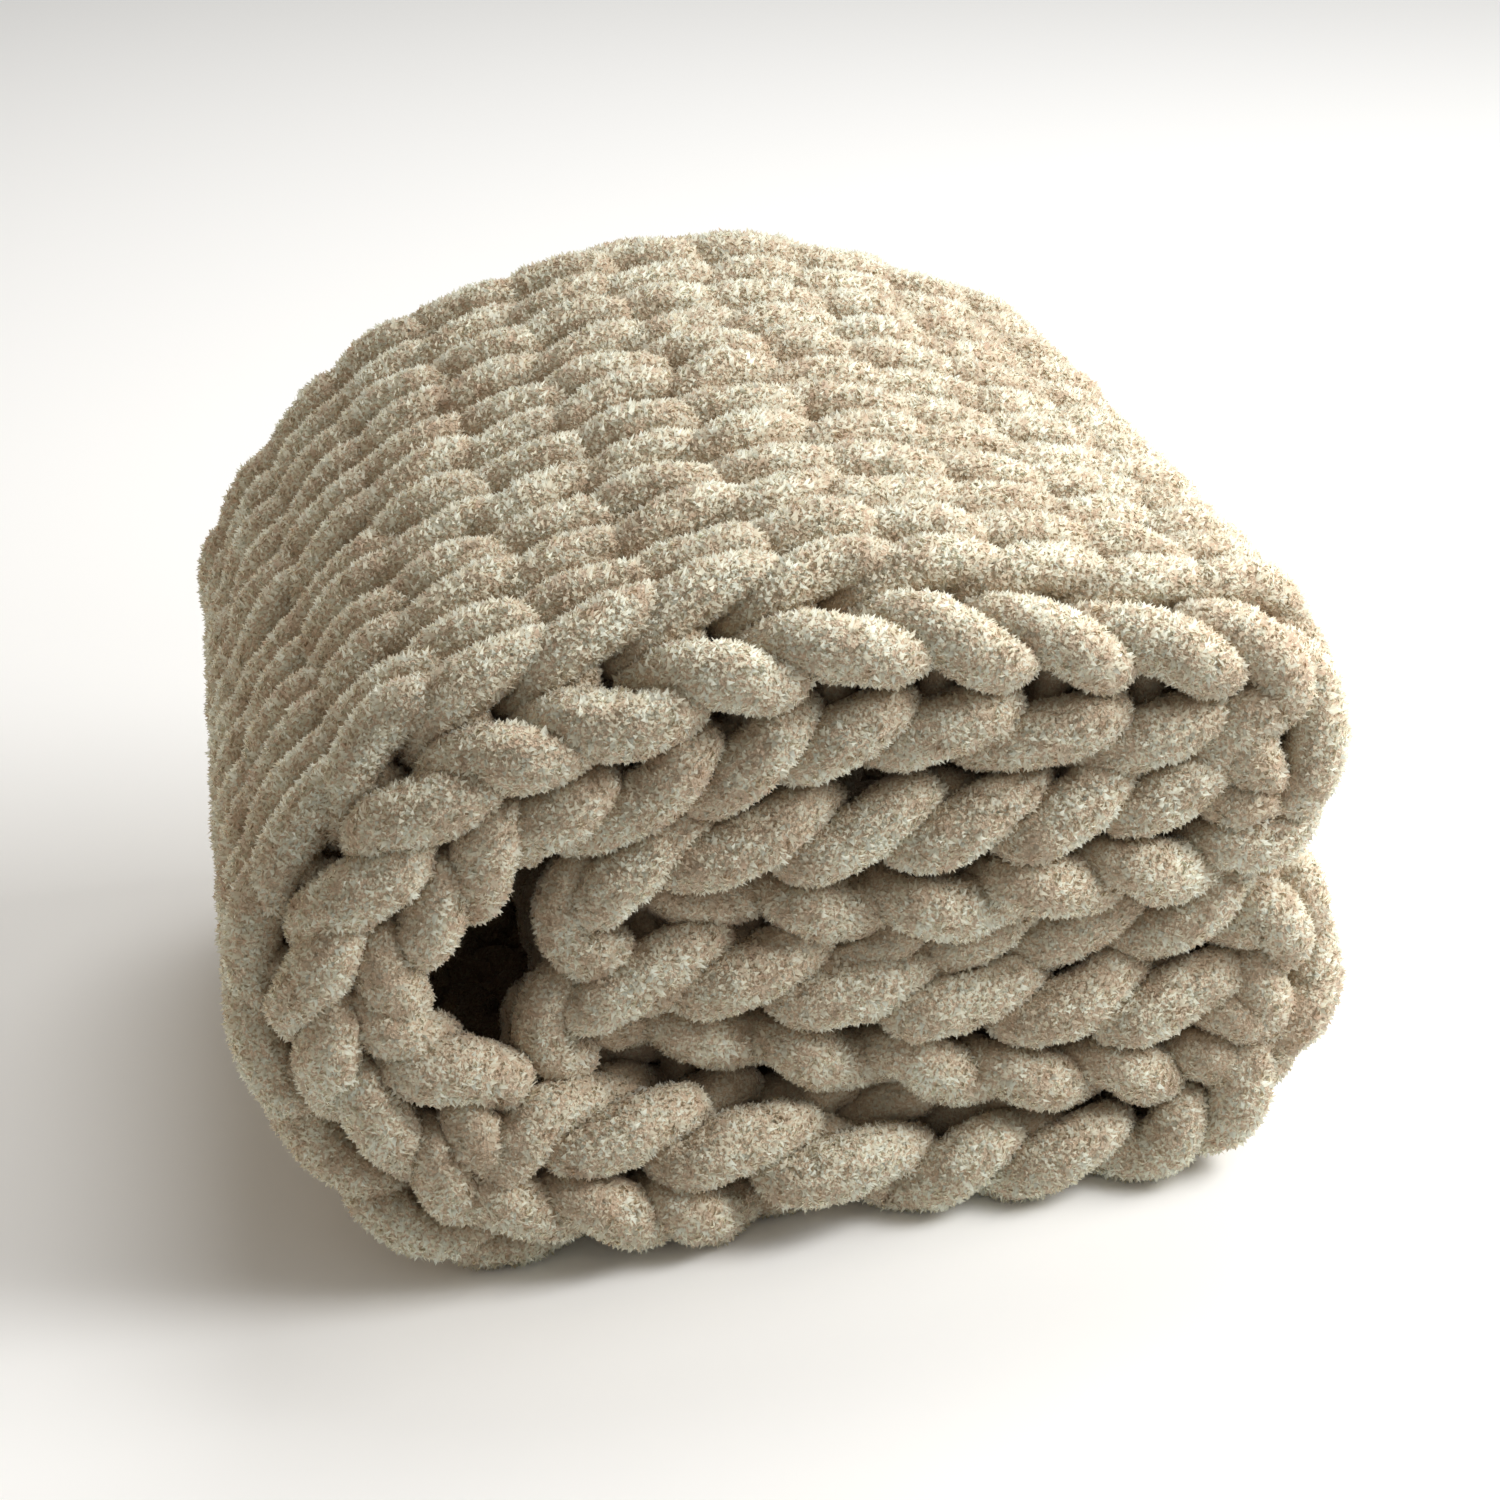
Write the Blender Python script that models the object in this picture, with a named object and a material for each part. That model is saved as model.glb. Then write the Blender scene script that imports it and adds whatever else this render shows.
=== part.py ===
"""Chunky knit blanket, folded back and forth and wrapped once round itself into a loaf.

One ply of knit is one closed solid. A table gives the corners of the line that runs through the
middle of the ply, seen from the end of the loaf. Each corner is rounded to its own radius, the line
is thickened to the ply, and the outline is carried from the near edge of the knit to the far edge.
Both edges are round and roll in towards the back of the knit, as stocking stitch does.

Metres, +Z up. The loaf rests on z = 0, its folds run along Y and the near edge of the knit faces -Y.
"""

import math
from collections import namedtuple

import bmesh
import bpy
from mathutils import Vector

# Driving sizes
DEPTH = 0.325  # near edge to far edge of the knit
PRESSED = 0.028  # thickness of a layer of knit that others lie on
ROUND_OFF = 0.016  # the knit thins over this distance to its rounded edges
EDGE_SHARE = 0.5  # thickness left at the very edge, as a share of the layer
ROLL_FULL = 0.022  # the rolled edge keeps its full depth up to this distance from the edge
ROLL_OUT = 0.050  # and is gone at this distance

# Fineness of the faceted surface
ARC_STEPS = 6  # steps of the middle line round a corner
RUN_STEPS = 2  # steps of the middle line from one corner to the next

FLOOR = PRESSED / 2  # height of the middle of the bottom layer

# Corners of the middle line, from the free end inside the loaf to the free end under it.
# x and z place the corner at the near end of the loaf, far_x and far_z at its far end, where the
# loaf is narrower, taller and rounder. radius rounds the corner and thick is the thickness of
# the knit. near and far say how much shorter the knit is there at its two edges, and roll how
# deep the rolled edges stand out at the back of it.
Corner = namedtuple("Corner", "name x z far_x far_z radius thick near far roll")
CORNERS = (
    Corner("inner end", 0.096, 0.0460, 0.125, 0.0520, 0, 0.025, 0.018, 0.010, 0.0),
    Corner("fifth layer", 0.030, 0.0480, 0.030, 0.0560, 0.30, 0.025, 0.018, 0.010, 0.0),
    Corner("low left fold, under", -0.068, 0.0600, -0.070, 0.0780, 0.014, 0.025, 0.010, 0.008, 0.0),
    Corner("low left fold, over", -0.097, 0.0940, -0.070, 0.1160, 0.014, 0.025, 0.006, 0.008, 0.0),
    Corner("fourth layer", 0.060, 0.0800, 0.050, 0.0990, 0.30, 0.027, 0.003, 0.006, 0.0),
    Corner("low right fold, under", 0.205, 0.0530, 0.168, 0.0730, 0.025, 0.027, 0.004, 0.006, 0.0),
    Corner("low right fold, over", 0.201, 0.1120, 0.163, 0.1330, 0.025, 0.027, 0.008, 0.006, 0.0),
    Corner("third layer", 0.080, 0.1150, 0.045, 0.1440, 0.30, 0.028, 0.010, 0.006, 0.0),
    Corner("high left fold, under", -0.064, 0.1220, -0.062, 0.1530, 0.015, 0.026, 0.010, 0.008, 0.0),
    Corner("high left fold, over", -0.064, 0.1540, -0.062, 0.1980, 0.015, 0.028, 0.006, 0.008, 0.0),
    Corner("second layer", 0.060, 0.1560, 0.045, 0.2030, 0.30, 0.036, 0.002, 0.006, 0.0),
    Corner("high right fold, under", 0.200, 0.1480, 0.158, 0.1780, 0.027, 0.034, 0.003, 0.004, 0.002),
    Corner("high right fold, over", 0.196, 0.2110, 0.152, 0.2400, 0.027, 0.034, 0.004, 0.002, 0.004),
    Corner("crown", 0.010, 0.2400, 0.022, 0.2900, 0.22, 0.044, 0.002, 0.0, 0.014),
    Corner("left shoulder", -0.128, 0.2120, -0.106, 0.2420, 0.09, 0.040, 0.0, 0.0, 0.018),
    Corner("left side", -0.208, 0.1180, -0.179, 0.1600, 0.085, 0.036, 0.0, 0.0, 0.022),
    Corner("left heel", -0.134, FLOOR, -0.124, FLOOR, 0.058, PRESSED, 0.0, 0.002, 0.022),
    Corner("under the low left fold", -0.030, FLOOR, -0.030, FLOOR, 0, PRESSED, 0.0, 0.004, 0.002),
    Corner("right toe", 0.152, FLOOR, 0.134, FLOOR, 0.05, PRESSED, 0.0, 0.004, 0.0),
    Corner("outer end", 0.188, 0.0190, 0.160, 0.0190, 0, 0.026, 0.0, 0.004, 0.0),
)

# A corner at one distance between the two ends of the loaf.
Place = namedtuple("Place", "point radius")

# A point of the middle line and the direction of the line there.
Dot = namedtuple("Dot", "point along")

# A point of the middle line with the direction square to the line on the back of the knit, the
# distance to the nearest free end, and what the table says there.
Stop = namedtuple("Stop", "point across to_end thick near far roll")


def clear_scene():
    """Empties the scene that the script runs in."""
    for item in list(bpy.data.objects):
        bpy.data.objects.remove(item, do_unlink=True)


def places_at(share):
    """The corners at this share of the way from the near end of the loaf to its far end."""
    places = []
    for corner in CORNERS:
        near = Vector((corner.x, corner.z))
        far = Vector((corner.far_x, corner.far_z))
        places.append(Place(near.lerp(far, share), corner.radius))
    return places


def corner_arc(before, place, after):
    """Dots of the arc that rounds one corner, or the corner itself where it has no radius."""
    if before is place or not place.radius:
        neighbour = after.point - place.point if before is place else place.point - before.point
        return [Dot(place.point, neighbour.normalized())]
    come = (place.point - before.point).normalized()
    leave = (after.point - place.point).normalized()
    turn = come.angle_signed(leave)
    reach = place.radius * math.tan(abs(turn) / 2)
    inward = Vector((come.y, -come.x)) * math.copysign(1, turn)
    centre = place.point - come * reach + inward * place.radius
    dots = []
    for step in range(ARC_STEPS + 1):
        angle = abs(turn) * step / ARC_STEPS
        outward = come * math.sin(angle) - inward * math.cos(angle)
        along = come * math.cos(angle) + inward * math.sin(angle)
        dots.append(Dot(centre + outward * place.radius, along))
    return dots


def split_run(start, end, cuts):
    """Dots after start up to end, where cuts are distances from start that get a dot too."""
    length = (end - start).length
    distances = [length * (step + 1) / RUN_STEPS for step in range(RUN_STEPS)]
    along = (end - start).normalized()
    return [Dot(start + along * distance, along) for distance in sorted(distances + cuts)]


def middle_line(places):
    """Dots of the whole middle line, and for each corner the length of line up to it."""
    last = len(places) - 1
    line = []
    corner_lengths = []
    length = 0.0
    for index, place in enumerate(places):
        arc = corner_arc(places[max(index - 1, 0)], place, places[min(index + 1, last)])
        if line:
            run = (arc[0].point - line[-1].point).length
            length += run
            cuts = []
            if index == 1:
                cuts = [ROUND_OFF / 4, ROUND_OFF]
            if index == last:
                cuts = [run - ROUND_OFF, run - ROUND_OFF / 4]
            line += split_run(line[-1].point, arc[0].point, cuts)
        else:
            line.append(arc[0])
        arc_length = sum((end.point - start.point).length for start, end in zip(arc, arc[1:]))
        corner_lengths.append(length + arc_length / 2)
        length += arc_length
        line += arc[1:]
    return line, corner_lengths


def between_corners(column, corner_lengths, length):
    """The value of one column of the table at this length of line."""
    values = [getattr(corner, column) for corner in CORNERS]
    for index in range(1, len(values)):
        start, end = corner_lengths[index - 1], corner_lengths[index]
        if length <= end:
            share = (length - start) / (end - start)
            return values[index - 1] + (values[index] - values[index - 1]) * share
    return values[-1]


def stops_at(share):
    """The middle line at this share of the way to the far end, as a list of stops."""
    line, corner_lengths = middle_line(places_at(share))
    lengths = [0.0]
    for start, end in zip(line, line[1:]):
        lengths.append(lengths[-1] + (end.point - start.point).length)
    stops = []
    for dot, length in zip(line, lengths):
        across = Vector((-dot.along.y, dot.along.x))
        to_end = min(length, lengths[-1] - length)
        table = [
            between_corners(column, corner_lengths, length)
            for column in ("thick", "near", "far", "roll")
        ]
        stops.append(Stop(dot.point, across, to_end, *table))
    return stops


def rounding(distance):
    """Share of the knit's thickness at this distance from one of its edges."""
    inside = min(distance / ROUND_OFF, 1.0)
    return EDGE_SHARE + (1 - EDGE_SHARE) * math.sqrt(1 - (1 - inside) ** 2)


def rolling(distance):
    """Share of the rolled edge's depth at this distance from the near or far edge."""
    fade = (ROLL_OUT - distance) / (ROLL_OUT - ROLL_FULL)
    return min(max(fade, 0.0), 1.0) * rounding(distance)


def stations():
    """Distances from the near edge at which the outline is drawn, closer together at both edges."""
    edge = [0.0, ROUND_OFF / 4, ROUND_OFF, ROLL_FULL, (ROLL_FULL + ROLL_OUT) / 2, ROLL_OUT]
    middle = [DEPTH / 2]
    return edge + middle + [DEPTH - distance for distance in reversed(edge)]


def outline(station):
    """One closed ring of points round the ply, at one distance from the near edge."""
    share = station / DEPTH
    to_edge = min(station, DEPTH - station)
    front, back = [], []
    for stop in stops_at(share):
        half = stop.thick / 2 * rounding(to_edge) * rounding(stop.to_end)
        roll = stop.roll * rolling(to_edge)
        y = stop.near + (DEPTH - stop.near - stop.far) * share
        for offset, ring in ((-half, front), (half + roll, back)):
            x, z = stop.point + stop.across * offset
            ring.append(Vector((x, y, z)))
    return front + back[::-1]


def knit_mesh():
    """The ply as one closed body: a wall between each two rings and a cap on both end rings."""
    bm = bmesh.new()
    rings = []
    for station in stations():
        rings.append([bm.verts.new(point) for point in outline(station)])
    for near, far in zip(rings, rings[1:]):
        for index, vertex in enumerate(near):
            following = (index + 1) % len(near)
            bm.faces.new((vertex, near[following], far[following], far[index]))
    for ring in (rings[0], rings[-1]):
        last = len(ring) - 1
        for index in range(last // 2):
            facing = last - index
            bm.faces.new((ring[index], ring[index + 1], ring[facing - 1], ring[facing]))
    bmesh.ops.recalc_face_normals(bm, faces=bm.faces)
    mesh = bpy.data.meshes.new("knit_blanket")
    bm.to_mesh(mesh)
    bm.free()
    mesh.shade_smooth()
    return mesh


def centre_on_floor(mesh):
    """Moves the mesh so that the middle of the bottom of its box is the origin."""
    for axis in (0, 1):
        values = [vertex.co[axis] for vertex in mesh.vertices]
        middle = (min(values) + max(values)) / 2
        for vertex in mesh.vertices:
            vertex.co[axis] -= middle
    lowest = min(vertex.co.z for vertex in mesh.vertices)
    for vertex in mesh.vertices:
        vertex.co.z -= lowest


def chenille():
    """Plain beige material of the plush yarn."""
    material = bpy.data.materials.new("beige_chenille")
    material.use_nodes = True
    shader = material.node_tree.nodes["Principled BSDF"]
    shader.inputs["Base Color"].default_value = (0.66, 0.58, 0.43, 1.0)
    shader.inputs["Roughness"].default_value = 0.95
    shader.inputs["Metallic"].default_value = 0.0
    return material


def main():
    clear_scene()
    mesh = knit_mesh()
    centre_on_floor(mesh)
    mesh.materials.append(chenille())
    blanket = bpy.data.objects.new("knit_blanket", mesh)
    bpy.context.scene.collection.objects.link(blanket)


main()
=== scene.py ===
# %% [markdown]
# # A folded chunky knit blanket
# The real blanket is one thick plush yarn, knitted by hand in stocking stitch, folded back and
# forth and wrapped once round itself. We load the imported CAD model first. It fixes where everything
# is, and it also tells us the size that the finished knit must keep to.

# %% The frame
import math
from collections import namedtuple

import bpy
import numpy as np
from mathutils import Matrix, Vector
from mathutils.bvhtree import BVHTree


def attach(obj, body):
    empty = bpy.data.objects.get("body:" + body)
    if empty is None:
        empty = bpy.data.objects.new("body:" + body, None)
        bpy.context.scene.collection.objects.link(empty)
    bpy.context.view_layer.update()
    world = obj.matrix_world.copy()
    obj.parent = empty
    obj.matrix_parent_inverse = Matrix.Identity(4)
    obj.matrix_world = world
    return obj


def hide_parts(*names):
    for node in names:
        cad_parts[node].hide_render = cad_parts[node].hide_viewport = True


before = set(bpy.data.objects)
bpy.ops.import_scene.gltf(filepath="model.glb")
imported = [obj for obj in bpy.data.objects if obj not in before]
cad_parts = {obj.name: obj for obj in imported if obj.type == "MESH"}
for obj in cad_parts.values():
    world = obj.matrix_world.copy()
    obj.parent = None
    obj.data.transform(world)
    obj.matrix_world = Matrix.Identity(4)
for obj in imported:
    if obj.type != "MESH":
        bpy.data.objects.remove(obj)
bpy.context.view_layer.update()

# %% [markdown]
# ## How the cloth is folded
# Seen from the end of the loaf, the blanket is one long line that turns at the folds. A short table
# names each turn of that line, at the near end of the loaf and at its far end, where the loaf is
# narrower and taller. The knit will follow this line, so the folds need no simulation and stay
# where the CAD model has them.

# %% The line through the folds
DEPTH = 0.325  # near edge to far edge of the blanket
SHIFT = -0.0060  # the table's x to the frame's x
FLOOR = 0.014  # height of the middle of the bottom layer

# A turn of the line at the near end and at the far end, its radius and the thickness of the knit.
# near and far say how much shorter the knit is at its two edges, curl how much of its width curls
# back, and drop how far the near edge hangs below the rest of the layer.
Corner = namedtuple("Corner", "name x z far_x far_z radius thick near far curl drop")
CORNERS = (
    Corner("inner end", 0.096, 0.046, 0.125, 0.052, 0, 0.025, 0.020, 0.010, 0.026, 0.0),
    Corner("fifth layer", 0.030, 0.049, 0.030, 0.056, 0.30, 0.025, 0.020, 0.010, 0.028, 0.0),
    Corner("low left fold, under", -0.068, 0.064, -0.070, 0.080, 0.014, 0.025, 0.008, 0.008, 0.030, -0.002),
    Corner("low left fold, over", -0.097, 0.101, -0.070, 0.111, 0.014, 0.025, 0.004, 0.008, 0.038, 0.006),
    Corner("fourth layer", 0.060, 0.078, 0.050, 0.093, 0.30, 0.026, 0.002, 0.006, 0.050, 0.031),
    Corner("low right fold, under", 0.207, 0.050, 0.168, 0.070, 0.027, 0.027, 0.004, 0.006, 0.048, 0.017),
    Corner("low right fold, over", 0.203, 0.116, 0.163, 0.131, 0.027, 0.026, 0.008, 0.006, 0.028, -0.007),
    Corner("third layer", 0.080, 0.116, 0.045, 0.137, 0.30, 0.026, 0.012, 0.006, 0.026, -0.003),
    Corner("high left fold, under", -0.064, 0.121, -0.062, 0.150, 0.015, 0.026, 0.008, 0.008, 0.030, 0.003),
    Corner("high left fold, over", -0.064, 0.153, -0.062, 0.194, 0.015, 0.029, 0.003, 0.008, 0.033, 0.013),
    Corner("second layer", 0.060, 0.146, 0.045, 0.180, 0.30, 0.032, 0.0, 0.006, 0.049, 0.025),
    Corner("high right fold, under", 0.200, 0.143, 0.158, 0.165, 0.031, 0.036, 0.003, 0.004, 0.050, 0.012),
    Corner("high right fold, over", 0.196, 0.211, 0.152, 0.236, 0.031, 0.036, 0.004, 0.002, 0.049, -0.002),
    Corner("crown", 0.010, 0.240, 0.022, 0.293, 0.22, 0.040, 0.002, 0.0, 0.050, 0.001),
    Corner("left shoulder", -0.128, 0.212, -0.106, 0.242, 0.09, 0.038, 0.0, 0.0, 0.058, 0.0),
    Corner("left side", -0.208, 0.118, -0.179, 0.160, 0.085, 0.036, -0.004, 0.0, 0.056, 0.0),
    Corner("left heel", -0.134, FLOOR, -0.124, FLOOR, 0.058, 0.030, -0.014, 0.002, 0.068, 0.0),
    Corner("under the low left fold", -0.030, FLOOR, -0.030, FLOOR, 0, 0.028, -0.010, 0.004, 0.040, 0.0),
    Corner("middle of the bottom", 0.030, FLOOR, 0.030, FLOOR, 0, 0.028, -0.009, 0.004, 0.017, 0.0),
    Corner("right toe", 0.152, FLOOR, 0.134, FLOOR, 0.05, 0.028, -0.008, 0.004, 0.014, 0.0),
    Corner("outer end", 0.190, 0.036, 0.160, 0.028, 0, 0.028, 0.0, 0.004, 0.022, 0.0),
)
print("corners of the line", len(CORNERS))

# %% [markdown]
# ## Round folds
# Cloth as thick as this never folds sharply. Each corner of the table is rounded to its own radius,
# and straight runs join the arcs. Rounding corners in code keeps the folds easy to change, where a
# curve drawn by hand would have to be drawn again.

# %% Round the corners of the line
ARC_STEPS = 16  # points on the arc of one corner


def corner_arc(before, point, after, radius):
    """Points of the arc that rounds one corner."""
    if not radius:
        return [point]
    come = (point - before) / np.linalg.norm(point - before)
    leave = (after - point) / np.linalg.norm(after - point)
    cross = come[0] * leave[1] - come[1] * leave[0]
    turn = math.atan2(cross, come @ leave)
    reach = radius * math.tan(abs(turn) / 2)
    inward = np.array([-come[1], come[0]]) * math.copysign(1, turn)
    centre = point - come * reach + inward * radius
    angles = np.linspace(0, abs(turn), ARC_STEPS)[:, None]
    return list(centre + (come * np.sin(angles) - inward * np.cos(angles)) * radius)


def rounded_line(share):
    """Points of the line at this share of the way to the far end, and where its corners are."""
    near = np.array([(c.x, c.z) for c in CORNERS])
    far = np.array([(c.far_x, c.far_z) for c in CORNERS])
    points = near + (far - near) * share
    points[:, 0] += SHIFT
    line, middles = [], []
    for index, corner in enumerate(CORNERS):
        before, after = points[max(index - 1, 0)], points[min(index + 1, len(points) - 1)]
        radius = corner.radius if 0 < index < len(points) - 1 else 0
        arc = corner_arc(before, points[index], after, radius)
        middles.append(len(line) + len(arc) // 2)
        line += arc
    return np.array(line), middles


print("points of the rounded line", len(rounded_line(0)[0]))

# %% [markdown]
# ## Even steps along the folds
# The stitches are all alike, so the line needs to be measured out evenly before they can be laid on
# it. Five such lines, from the near end of the loaf to its far end, hold everything that the knit has
# to know: where it is, which way it runs, how much it bends, and the other columns of the table.

# %% Measure out the line
SAMPLES = 1201  # points along the line
SMOOTHING = 21  # the line's directions are averaged over this many points
SHARES = np.linspace(0.0, 1.0, 5)  # slices from the near end to the far end
BACK = 0.014  # the knit keeps its full length this far behind its middle where its back is outside


def smooth_ways(spots):
    """The line's direction at each spot, averaged over the spots beside it."""
    steps = np.gradient(spots, axis=0)
    ways = steps / np.linalg.norm(steps, axis=1)[:, None]
    window = np.hanning(SMOOTHING)
    window /= window.sum()
    padded = np.pad(ways, ((SMOOTHING // 2, SMOOTHING // 2), (0, 0)), "edge")
    ways = np.stack([np.convolve(padded[:, k], window, "valid") for k in (0, 1)], axis=1)
    return ways / np.linalg.norm(ways, axis=1)[:, None]


def slice_line(share):
    """The folded line of one slice: points, directions, bend, and the table's other columns."""
    line, middles = rounded_line(share)
    steps = np.diff(line, axis=0)
    headings = np.unwrap(np.arctan2(steps[:, 1], steps[:, 0]))
    rights = np.clip(-np.diff(headings), 0, None)  # how far the line turns with its back outside
    extra = BACK * (np.r_[0, rights] + np.r_[rights, 0]) / 2
    lengths = np.r_[0, np.cumsum(np.linalg.norm(steps, axis=1) + extra)]
    even = np.linspace(0, lengths[-1], SAMPLES)
    spots = np.c_[np.interp(even, lengths, line[:, 0]), np.interp(even, lengths, line[:, 1])]
    ways = smooth_ways(spots)
    angles = np.unwrap(np.arctan2(ways[:, 1], ways[:, 0]))
    bend = np.gradient(angles, even)
    columns = [
        np.interp(even, lengths[middles], [getattr(c, name) for c in CORNERS])
        for name in ("thick", "near", "far", "curl", "drop")
    ]
    return np.c_[spots, ways, bend, np.stack(columns, axis=1)], lengths[-1]


slices = [slice_line(share) for share in SHARES]
LINE = np.stack([rows for rows, _ in slices])  # slice, sample, (x, z, way x, way z, bend, ...)
print("length of the line", [round(length, 3) for _, length in slices])

# %% [markdown]
# ## From flat knit to folded knit
# A stitch is easiest to draw on flat cloth: so many courses along, so many stitches across, and a
# little in front of or behind the cloth. This function carries such a place to the folded blanket.
# The first step is to look up the folded line at any course and at any depth of the loaf.

# %% Look up the folded line
COURSES = 52  # rows of stitches from end to end
STITCHES = 8  # stitches across
YARN = 0.0112  # radius of the plush yarn
STITCH_WIDE = 0.0468  # from one stitch to the next across the cloth


def look_up(course, share):
    """The line's values at these courses and slices."""
    along = np.clip(course / COURSES, 0, 1) * (SAMPLES - 1)
    low = np.clip(along.astype(int), 0, SAMPLES - 2)
    part = (along - low)[:, None]
    deep = np.clip(share, 0, 1) * (len(SHARES) - 1)
    slot = np.clip(deep.astype(int), 0, len(SHARES) - 2)
    mix = (deep - slot)[:, None]
    near = LINE[slot, low] * (1 - part) + LINE[slot, low + 1] * part
    far = LINE[slot + 1, low] * (1 - part) + LINE[slot + 1, low + 1] * part
    return near * (1 - mix) + far * mix


print("flat knit", COURSES, "by", STITCHES, "stitches,", round(STITCHES * STITCH_WIDE, 3), "m across")

# %% [markdown]
# ## Curled edges
# Stocking stitch always curls its long edges towards the back, so the outermost stitches turn
# through a right angle and face the viewer at both ends of the loaf. A place near an edge runs round
# a small circle before it is lifted to the front or the back of the cloth.

# %% Curl the edges
CURL = 0.011  # radius of the curled edge
CURL_ANGLE = math.radians(92)
EDGE_LIFT = 0.0080  # how far the yarn swings to either side of the cloth's middle at the edges
LEAST_LIFT = 0.001  # and at least this far where the cloth is thin
EDGE_TURNED = 1.2  # the edge has its own swing once it has turned by this angle, in radians


def curled(inside, curl, thick, lift):
    """How far out of the flat part and how far back a place lies that is this far inside the edge."""
    past = np.maximum(curl - inside, 0)
    angle = np.minimum(past / CURL, CURL_ANGLE)
    rest = past - angle * CURL
    out = CURL * np.sin(angle) + rest * np.cos(angle)
    up = CURL * (1 - np.cos(angle)) + rest * np.sin(angle)
    press = np.clip(thick / 2 - YARN, LEAST_LIFT, None)
    swing = lift * (press + (EDGE_LIFT - press) * np.minimum(angle / EDGE_TURNED, 1))
    return out + swing * np.sin(angle), up - swing * np.cos(angle)


print("an edge curls over", round(CURL * CURL_ANGLE * 1000, 1), "mm of cloth")

# %% [markdown]
# ## The place on the folded blanket
# Now a place on flat cloth can be carried all the way. Yarn on the inside of a tight fold has less
# room, so it is pressed towards the middle of the cloth there, and the near edge hangs a little lower
# than its layer, as the real one does.

# %% Carry a place on flat knit to the folded blanket
FACE = 0.0190  # the curled edge's middle lies this far behind the front of the loaf
HANG_REACH = 0.090  # the near edge hangs lower than the rest of a layer, fading out over this
PRESS_IN = 0.55  # how strongly yarn on the inside of a bend is pressed towards the middle
END_STEP = 0.03  # the last loops reach past the end of the line by this much for each course


def pressed(up, bend):
    """The height over the cloth's middle that is left in a bend."""
    tight = up * bend
    inside = 1 + PRESS_IN * np.abs(tight) * (up > 0)
    return up / np.where(tight > 0, np.sqrt(1 + tight**2), inside)


def cloth_point(course, across, lift):
    """Places in space for course, stitches across and lift to the knit side, where 1 is full."""
    middle = look_up(course, np.full(len(course), 0.5))
    thick, near, far, curl, drop = middle[:, 5:10].T
    width = STITCHES * STITCH_WIDE
    from_near = across * STITCH_WIDE
    side = np.where(from_near < width / 2, -1.0, 1.0)
    inside = np.minimum(from_near, width - from_near)
    front = -DEPTH / 2 + near + FACE + CURL
    back = DEPTH / 2 - far - FACE - CURL
    share_flat = (from_near - curl) / (width - 2 * curl)
    flat_y = front + (back - front) * np.clip(share_flat, 0, 1)
    out, up = curled(inside, curl, thick, lift)
    y = flat_y + side * out
    found = look_up(course, (y + DEPTH / 2) / DEPTH)
    up = pressed(up, found[:, 4])
    x = found[:, 0] - found[:, 3] * up
    hang = np.clip(1 - (flat_y - front) / HANG_REACH, 0, 1) ** 2
    z = found[:, 1] + found[:, 2] * up - drop * hang
    beyond = (np.maximum(course - COURSES, 0) + np.minimum(course, 0)) * END_STEP
    return np.c_[x + found[:, 2] * beyond, y, z + found[:, 3] * beyond]


middle_stitch = cloth_point(np.array([COURSES / 2]), np.array([STITCHES / 2]), np.array([1.0]))
print("the middle of the knit lies at", middle_stitch[0].round(3))

# %% [markdown]
# ## One stitch
# Stocking stitch shows two plump arms of yarn for each stitch, set like a V. The arms come out over
# the stitch before, lean apart and tuck under the stitch after, and the loop closes behind. One
# table row per place on half a loop is enough, because the other half is its mirror image.

# %% One loop
# across and along are in stitches and courses, lift is 1 on the knit side and -1 at the back.
Knot = namedtuple("Knot", "name across along lift plump")
HALF_LOOP = (
    Knot("between stitches", 0.50, -0.12, -1.00, 0.80),
    Knot("neck", 0.31, -0.24, -0.60, 0.82),
    Knot("base", 0.205, 0.00, 1.00, 1.03),
    Knot("arm", 0.250, 0.50, 1.10, 1.15),
    Knot("top", 0.298, 1.00, 0.35, 1.02),
    Knot("shoulder", 0.250, 1.28, -0.70, 0.82),
    Knot("head", 0.00, 1.40, -1.00, 0.80),
)
BODY_SIDE = (0.50, 0.31, 0.17, 0.28, 0.38, 0.33, 0.0)  # the same knots in an edge stitch
RIM_SIDE = (0.50, 0.38, 0.19, 0.38, 0.56, 0.46, 0.0)  # and on its side towards the cloth's edge
ROPE_SIDE = (0.50, 0.30, 0.216, 0.25, 0.284, 0.25, 0.0)  # inside the cloth the arms join into ropes
ROPE_LIFT = (-1.00, -0.55, 0.88, 1.05, 0.60, -0.65, -1.00)
ROPE_PLUMP = (0.80, 0.80, 0.89, 0.97, 0.89, 0.80, 0.80)
TURN = (
    Knot("out of the row", 0.36, -0.10, -0.75, 0.85),
    Knot("edge", 0.46, 0.36, -0.95, 0.95),
    Knot("into the next row", 0.36, 0.80, -0.80, 0.88),
)
TAIL = (  # each end of the yarn is woven in at the back
    Knot("out of the cloth", 0.36, -0.05, -0.75, 0.80),
    Knot("behind", 0.22, 0.40, -1.00, 0.80),
    Knot("tip", -0.10, 0.60, -1.00, 0.60),
)
print("knots in one loop", 2 * len(HALF_LOOP) - 1)

# %% [markdown]
# ## The whole yarn
# A knitter works to and fro, so the yarn runs across one course, turns at the edge and comes back in
# the next. The knots of all loops are strung together in that order, and each is moved a little at
# random, because no two stitches made by hand are quite alike.

# %% String the knots together
WOBBLE = (0.035, 0.022, 0.10, 0.02)  # how uneven along, across, lift and plump are
rng = np.random.default_rng(11)


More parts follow.
